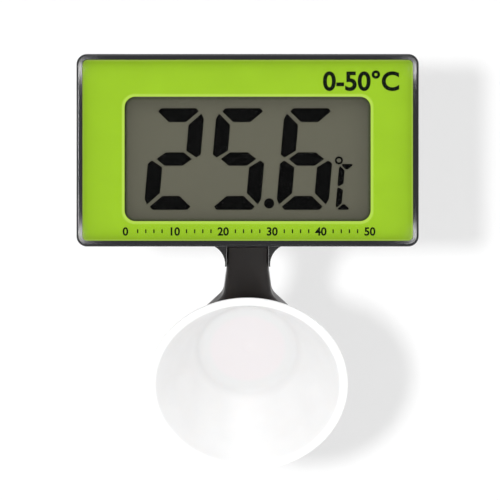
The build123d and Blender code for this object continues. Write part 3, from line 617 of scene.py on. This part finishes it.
# ---------------------------------------------------------------- arm and hinge
class ThermoArm(bpy.types.Operator):
    """Finish the swivel arm and its steel hinge pin"""

    bl_idname = "thermo.arm"
    bl_label = "Arm and hinge pin"

    def execute(self, context):
        case = context.scene.thermo_case
        paint(moulded("arm_plastic", case.arm_black, 0.36, 0.2 * MM, 0.003 * MM), "swivel_arm")
        paint(drawn_metal("pin_steel", (0.6, 0.6, 0.59), 0.22, (12, 1, 1)), "hinge_pin")
        return {"FINISHED"}


# ---------------------------------------------------------------- case
def raised_ring(name, centre, inner, width, height, finish):
    """A ring with rounded corners that stands up from the rear face."""
    outer = inner + width
    corner = min(height, width) * 0.3
    outline = [
        (inner, -SUNK),
        (inner, height - corner),
        (inner + corner, height),
        (outer - corner, height),
        (outer, height - corner),
        (outer, -SUNK),
    ]
    work = bmesh.new()
    spin_outline(work, outline, RING_STEPS, closed=True)
    clean(work)
    work.transform(facing_back(centre))
    round_edges(new_piece(name, work, "case", finish.material), corner * 0.3)


class ThermoCase(bpy.types.Operator):
    """Finish the case halves, seal and screws, and add the rings moulded on the back"""

    bl_idname = "thermo.case"
    bl_label = "Case"

    def execute(self, context):
        case = context.scene.thermo_case
        matt = moulded("rear_plastic", case.matt_black, 0.52, 0.16 * MM, 0.006 * MM)
        matt.set("Specular IOR Level", 0.28)
        paint(polished("rim_plastic", case.gloss_black), "front_case")
        paint(matt, "rear_case")
        paint(moulded("seal_rubber", (0.02, 0.02, 0.02), 0.6), "case_seal", "battery_cap_o_ring")
        paint(drawn_metal("screw_steel", (0.6, 0.6, 0.58), 0.25), "case_screws", "board_screws")
        around_cap = (CAP_HIGH.x - CAP_LOW.x) / 2 + case.ring_gap
        mouth = Vector((CAP_CENTRE.x, REAR_FACE, CAP_CENTRE.z))
        raised_ring("mouth_ring", mouth, around_cap, case.mouth_ring, case.ring_height, matt)
        sensor = (SENSOR_LOW + SENSOR_HIGH) / 2
        sensor.y = REAR_FACE
        low = case.ring_height * 0.7
        raised_ring("sensor_ring", sensor, case.sensor_ring, case.mouth_ring, low, matt)
        return {"FINISHED"}


# ---------------------------------------------------------------- screw cap
class ThermoCap(bpy.types.Operator):
    """Finish the battery cap, and add its grip ribs and turning arrow"""

    bl_idname = "thermo.cap"
    bl_label = "Battery cap"

    def execute(self, context):
        case = context.scene.thermo_case
        finish = moulded("cap_plastic", case.matt_black, 0.42, 0.2 * MM, 0.006 * MM)
        paint(finish, "battery_cap")
        face = Vector((CAP_CENTRE.x, CAP_HIGH.y, CAP_CENTRE.z))
        self.grips(case, finish, face)
        self.arrow(case, finish, face)
        return {"FINISHED"}

    def grips(self, case, finish, face):
        """Small ribs round the edge of the flange."""
        flange = (CAP_HIGH.x - CAP_LOW.x) / 2
        tall = 0.5 * MM
        drop = 0.62 * MM
        work = bmesh.new()
        for index in range(case.grips):
            made = bmesh.ops.create_cube(work, size=1)["verts"]
            bmesh.ops.scale(work, vec=(2 * case.grip_proud, case.grip_width, tall), verts=made)
            bmesh.ops.translate(work, vec=(flange, 0, -drop), verts=made)
            turn = Matrix.Rotation(math.tau * index / case.grips, 3, "Z")
            bmesh.ops.rotate(work, cent=(0, 0, 0), matrix=turn, verts=made)
        work.transform(facing_back(face))
        piece = new_piece("cap_grips", work, "battery_cap", finish.material)
        round_edges(piece, 0.06 * MM)

    def arrow(self, case, finish, face):
        """Two curved arrows that show which way the cap comes off."""
        half = 0.22 * MM
        proud = 0.12 * MM
        head_size = 2.8 * half
        half_turn = Matrix.Rotation(math.pi, 3, "Z")
        radius = case.arrow_radius
        work = bmesh.new()
        outline = [
            (radius - half, -SUNK),
            (radius + half, -SUNK),
            (radius + half, proud),
            (radius - half, proud),
        ]
        spin_outline(work, outline, 14, sweep=case.arrow_sweep, closed=True)
        head = bmesh.ops.create_cone(
            work, cap_ends=True, segments=3, radius1=head_size, radius2=head_size, depth=proud + SUNK
        )["verts"]
        bmesh.ops.rotate(work, cent=(0, 0, 0), matrix=half_turn, verts=head)
        bmesh.ops.translate(work, vec=(radius, 0, (proud - SUNK) / 2), verts=head)
        first = Matrix.Rotation(case.arrow_start, 4, "Z")
        bmesh.ops.transform(work, matrix=first, verts=work.verts)
        copy = bmesh.ops.duplicate(work, geom=work.verts[:] + work.edges[:] + work.faces[:])["geom"]
        copied = [part for part in copy if isinstance(part, bmesh.types.BMVert)]
        bmesh.ops.rotate(work, cent=(0, 0, 0), matrix=half_turn, verts=copied)
        bmesh.ops.recalc_face_normals(work, faces=work.faces)
        work.transform(facing_back(face))
        piece = new_piece("cap_arrows", work, "battery_cap", finish.material)
        round_edges(piece, 0.04 * MM)


# ---------------------------------------------------------------- printed face
def lettering(text, size, align, thick):
    """Flat letters as a bmesh, standing in x and y."""
    curve = bpy.data.curves.new("letters", "FONT")
    curve.body = text
    curve.size = size
    curve.align_x = align
    curve.resolution_u = 6
    curve.extrude = thick / 2
    curve.offset = size * 0.026
    holder = bpy.data.objects.new("letters", curve)
    bpy.context.collection.objects.link(holder)
    bpy.context.view_layer.update()
    mesh = bpy.data.meshes.new_from_object(holder)
    bpy.data.objects.remove(holder)
    work = bmesh.new()
    work.from_mesh(mesh)
    bpy.data.meshes.remove(mesh)
    bmesh.ops.remove_doubles(work, verts=work.verts, dist=MERGE)
    return work


def join_into(target, work):
    """Adds one bmesh to another and frees it."""
    mesh = bpy.data.meshes.new("join")
    work.to_mesh(mesh)
    work.free()
    target.from_mesh(mesh)
    bpy.data.meshes.remove(mesh)


class ThermoFace(bpy.types.Operator):
    """Finish the clear panel and green face, and print the scale marks"""

    bl_idname = "thermo.face"
    bl_label = "Face and print"

    def execute(self, context):
        sizes = context.scene.thermo_print
        glaze(clear_sheet("clear_acrylic"), "face_panel")
        paint(green_face(sizes), "face_print")
        paint(moulded("tape", (0.03, 0.03, 0.03), 0.8, 0.3 * MM, 0.01 * MM), "panel_adhesive")
        ink = moulded("black_ink", sizes.ink, 0.8, 0.1 * MM, 0.001 * MM)
        ink.set("Specular IOR Level", NO_GLARE)
        work = bmesh.new()
        self.range_marks(work, sizes)
        self.number_row(work, sizes)
        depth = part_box("face_print")[0].y - sizes.ink_thick / 2
        place = Matrix.Translation((CASE_MIDDLE.x, depth, CASE_MIDDLE.z))
        work.transform(place @ Matrix.Rotation(math.pi / 2, 4, "X"))
        new_piece("scale_marks", work, "case", ink.material, ["face_marks"])
        return {"FINISHED"}

    def range_marks(self, work, sizes):
        """The range, ending above the window's right side."""
        letters = lettering(sizes.range_text, sizes.range_size, "RIGHT", sizes.ink_thick)
        letters.transform(Matrix.Translation((sizes.range_right, sizes.range_up, 0)))
        join_into(work, letters)

    def number_row(self, work, sizes):
        """Numbers with ticks between them, centred under the window."""
        start = -sizes.row_step * (sizes.row_count - 1) / 2
        rise = -sizes.row_down
        baseline = rise - sizes.row_size * 0.36
        gap = sizes.row_step / (sizes.ticks + 2)
        for index in range(sizes.row_count):
            x = start + index * sizes.row_step
            number = lettering(str(index * sizes.row_gain), sizes.row_size, "CENTER", sizes.ink_thick)
            number.transform(Matrix.Translation((x, baseline, 0)))
            join_into(work, number)
            if index == sizes.row_count - 1:
                continue
            for tick in range(sizes.ticks):
                bar = bmesh.ops.create_cube(work, size=1)["verts"]
                size = (sizes.tick_width, sizes.tick_height, sizes.ink_thick)
                bmesh.ops.scale(work, vec=size, verts=bar)
                bmesh.ops.translate(work, vec=(x + gap * (tick + 1.5), rise, 0), verts=bar)


# ---------------------------------------------------------------- display
class ThermoDisplay(bpy.types.Operator):
    """Finish the glasses, films, segments and holder of the display"""

    bl_idname = "thermo.display"
    bl_label = "Display"

    def execute(self, context):
        sizes = context.scene.thermo_display
        glaze(clear_sheet("polarizer_film", (0.97, 0.97, 0.95), 1.08, 0.08), "lcd_front_polarizer")
        glaze(clear_sheet("lcd_glass", (0.99, 1.0, 0.99), 1.08), "lcd_front_glass")
        paint(display_ground(sizes), "lcd_rear_glass", "lcd_rear_polarizer")
        segment = moulded("liquid_crystal", sizes.segment, 0.8, 0.05 * MM, 0.0005 * MM)
        segment.set("Specular IOR Level", NO_GLARE)
        paint(segment, "lcd_segments")
        paint(moulded("glass_seal", (0.07, 0.075, 0.05), 0.4), "lcd_cell_seal")
        paint(moulded("holder_plastic", (0.6, 0.6, 0.56), 0.45), "lcd_holder")
        paint(ringed("zebra_rubber", (0.5, 0.2, 0.2), (0.03, 0.03, 0.03), 0.18 * MM), "zebra_strip")
        return {"FINISHED"}


# ---------------------------------------------------------------- inside
class ThermoInside(bpy.types.Operator):
    """Finish the circuit board, sensor, cell and contacts"""

    bl_idname = "thermo.inside"
    bl_label = "Board, sensor and cell"

    def execute(self, context):
        paint(laminate("board_laminate", (0.01, 0.13, 0.04)), "circuit_board")
        paint(moulded("resin_black", (0.008, 0.008, 0.008), 0.18, 1 * MM), "chip_blob")
        paint(moulded("chip_ceramic", (0.05, 0.05, 0.05), 0.5), "chip_resistors")
        paint(moulded("capacitor_ceramic", (0.3, 0.19, 0.1), 0.4), "chip_capacitors")
        paint(moulded("bead_glass", (0.05, 0.03, 0.02), 0.12, 1 * MM), "thermistor_bead")
        paint(drawn_metal("tinned_wire", (0.7, 0.69, 0.66), 0.3), "thermistor_leads")
        paint(drawn_metal("sensor_steel", (0.62, 0.62, 0.6), 0.2, (6, 1, 1), 0.2 * MM), "sensor_cap")
        paint(moulded("potting_resin", (0.4, 0.33, 0.2), 0.25, 1 * MM), "sensor_potting")
        paint(drawn_metal("cell_steel", (0.72, 0.71, 0.68), 0.18), "battery_can", "battery_anode_cap")
        paint(moulded("nylon", (0.7, 0.7, 0.66), 0.4), "battery_grommet")
        contacts = ("positive_contact", "negative_contact")
        paint(drawn_metal("contact_brass", (0.78, 0.6, 0.3), 0.25), *contacts)
        return {"FINISHED"}


# ---------------------------------------------------------------- stage
def add_light(name, kind, energy, **settings):
    light = bpy.data.lights.new(name, kind)
    light.energy = energy
    for key, value in settings.items():
        setattr(light, key, value)
    lamp = bpy.data.objects.new(name, light)
    bpy.context.collection.objects.link(lamp)
    return lamp


class ThermoStage(bpy.types.Operator):
    """Set up the pale stage, the lights and the camera"""

    bl_idname = "thermo.stage"
    bl_label = "Stage"

    def execute(self, context):
        stage = context.scene.thermo_stage
        self.backdrop(stage)
        self.surround(context, stage)
        self.key_light(stage)
        self.soft_boxes(stage)
        self.bowl_sheen(stage)
        self.rim_glints(stage)
        self.camera(context, stage)
        return {"FINISHED"}

    def backdrop(self, stage):
        """A floor that curves up into a wall, seen from its lit side only."""
        work = bmesh.new()
        low = work.verts.new((-stage.reach, -stage.reach, -stage.floor))
        foot = work.verts.new((-stage.reach, stage.wall - stage.cove, -stage.floor))
        work.edges.new((low, foot))
        bmesh.ops.spin(
            work, geom=[foot], cent=(-stage.reach, stage.wall - stage.cove, stage.cove - stage.floor),
            axis=(1, 0, 0), steps=24, angle=math.pi / 2, use_merge=False,
        )
        work.verts.ensure_lookup_table()
        top = max(work.verts, key=lambda vert: (vert.co.y, vert.co.z))
        work.edges.new((top, work.verts.new((-stage.reach, stage.wall, stage.reach))))
        swept = bmesh.ops.extrude_edge_only(work, edges=work.edges[:])["geom"]
        moved = [part for part in swept if isinstance(part, bmesh.types.BMVert)]
        bmesh.ops.translate(work, vec=(2 * stage.reach, 0, 0), verts=moved)
        for face in work.faces:
            face.smooth = True
            face.normal_update()
        if max(work.faces, key=lambda face: abs(face.normal.z)).normal.z < 0:
            bmesh.ops.reverse_faces(work, faces=work.faces)
        mesh = bpy.data.meshes.new("backdrop")
        work.to_mesh(mesh)
        work.free()
        sheet = bpy.data.objects.new("backdrop", mesh)
        bpy.context.collection.objects.link(sheet)
        sheet.visible_shadow = False
        mesh.materials.append(self.paper(stage))

    def paper(self, stage):
        """Matt paper that is clear from behind."""
        finish = Finish("stage_paper", stage.pale, 0.9)
        tone = finish.spread(finish.noise(40 * MM, 2), 0, 1)
        finish.colour(finish.blend(tone, shade(stage.pale, 0.995), shade(stage.pale, 1.0)))
        behind = finish.add("NewGeometry").outputs["Backfacing"]
        mix = finish.add("MixShader")
        finish.link(behind, mix.inputs[0])
        finish.link(finish.shader.outputs[0], mix.inputs[1])
        finish.link(finish.add("BsdfTransparent").outputs[0], mix.inputs[2])
        finish.link(mix.outputs[0], finish.output.inputs["Surface"])
        finish.set("Specular IOR Level", 0.0)
        return finish.material

    def surround(self, context, stage):
        world = bpy.data.worlds.new("surround")
        world.use_nodes = True
        background = world.node_tree.nodes["Background"]
        background.inputs["Color"].default_value = (1, 1, 1, 1)
        background.inputs["Strength"].default_value = stage.sky
        context.scene.world = world

    def key_light(self, stage):
        """A key from the left, close to the camera."""
        lamp = add_light("key", "SUN", stage.sun, angle=stage.softness)
        away = Vector((stage.shadow_right, stage.wall, -stage.shadow_down))
        lamp.rotation_euler = away.to_track_quat("-Z", "Y").to_euler()

    def soft_box(self, name, place, width, height, power):
        """An area light that looks at the cup's rim."""
        lamp = add_light(name, "AREA", power, shape="RECTANGLE", size=width, size_y=height)
        lamp.location = place
        lamp.rotation_euler = (-Vector(place)).to_track_quat("-Z", "Y").to_euler()

    def soft_boxes(self, stage):
        """One above the front, and one for the back that reaches it through the stage's wall."""
        above = (0, -stage.overhead_front, stage.overhead_up)
        behind = (stage.overhead_front * 0.9, stage.overhead_front * 1.2, stage.overhead_up * 1.3)
        self.soft_box("overhead", above, stage.overhead_width, stage.overhead_length, stage.overhead)
        self.soft_box("behind", behind, stage.overhead_length, stage.overhead_width, stage.behind)

    def bowl_sheen(self, stage):
        """A broad light on the cup alone, for the bright wedge low in its bowl."""
        lamp = add_light("sheen", "SUN", stage.sheen, angle=stage.sheen_spread, use_shadow=False)
        lamp.rotation_euler = (math.pi / 2 - stage.sheen_height, 0, 0)
        lamp.visible_diffuse = False
        cup_only = bpy.data.collections.new("cup_only")
        cup_only.objects.link(bpy.data.objects["soft_cup"])
        lamp.light_linking.receiver_collection = cup_only

    def view(self, stage):
        """The point before the case that the camera looks at, and the camera's distance from it."""
        aim = Vector((CASE_MIDDLE.x + stage.aim_right, CASE_LOW.y, CASE_LOW.z - stage.aim_below))
        return aim, stage.frame_width * stage.lens / FILM_WIDTH

    def rim_glints(self, stage):
        """Four small unseen lights that put a shine on the rim's sides near its corners."""
        aim, distance = self.view(stage)
        spread = 1 + stage.glint_front / distance
        for side in (CASE_LOW.x + stage.glint_in, CASE_HIGH.x - stage.glint_in):
            for height in (CASE_LOW.z + stage.glint_low, CASE_HIGH.z - stage.glint_high):
                lamp = add_light(
                    "glint", "AREA", stage.glint,
                    shape="RECTANGLE", size=stage.glint_width, size_y=stage.glint_height,
                )
                lamp.location = (
                    aim.x + (side - aim.x) * spread,
                    aim.y - stage.glint_front,
                    aim.z + (height - aim.z) * spread,
                )
                lamp.rotation_euler = (math.pi / 2, 0, 0)
                lamp.visible_camera = False

    def camera(self, context, stage):
        """A long lens that looks straight at the display."""
        aim, distance = self.view(stage)
        data = bpy.data.cameras.new("view")
        data.lens = stage.lens
        data.sensor_width = FILM_WIDTH
        camera = bpy.data.objects.new("view", data)
        context.collection.objects.link(camera)
        camera.location = (aim.x, aim.y - distance, aim.z)
        camera.rotation_euler = (math.pi / 2, 0, 0)
        context.scene.camera = camera
        context.scene.view_settings.view_transform = "Standard"


# ---------------------------------------------------------------- add-on
STEPS = (
    ThermoSuctionCup,
    ThermoArm,
    ThermoCase,
    ThermoCap,
    ThermoFace,
    ThermoDisplay,
    ThermoInside,
    ThermoStage,
)
GROUPS = {
    "thermo_cup": CupSizes,
    "thermo_print": PrintSizes,
    "thermo_display": DisplaySizes,
    "thermo_case": CaseSizes,
    "thermo_stage": StageSizes,
}


class ThermoPanel(bpy.types.Panel):
    """Lists the steps that build the thermometer"""

    bl_idname = "VIEW3D_PT_thermo"
    bl_label = "Thermometer"
    bl_space_type = "VIEW_3D"
    bl_region_type = "UI"
    bl_category = "Thermometer"

    def draw(self, context):
        for step in STEPS:
            self.layout.operator(step.bl_idname)
        for name, group in GROUPS.items():
            box = self.layout.box()
            for key in group.__annotations__:
                box.prop(getattr(context.scene, name), key)


CLASSES = (*GROUPS.values(), *STEPS, ThermoPanel)


def register():
    for item in CLASSES:
        bpy.utils.register_class(item)
    for name, group in GROUPS.items():
        setattr(bpy.types.Scene, name, PointerProperty(type=group))


def unregister():
    for name in GROUPS:
        delattr(bpy.types.Scene, name)
    for item in reversed(CLASSES):
        bpy.utils.unregister_class(item)


def main():
    register()
    bpy.ops.thermo.suction_cup()
    bpy.ops.thermo.arm()
    bpy.ops.thermo.case()
    bpy.ops.thermo.cap()
    bpy.ops.thermo.face()
    bpy.ops.thermo.display()
    bpy.ops.thermo.inside()
    bpy.ops.thermo.stage()


if __name__ == "__main__":
    main()
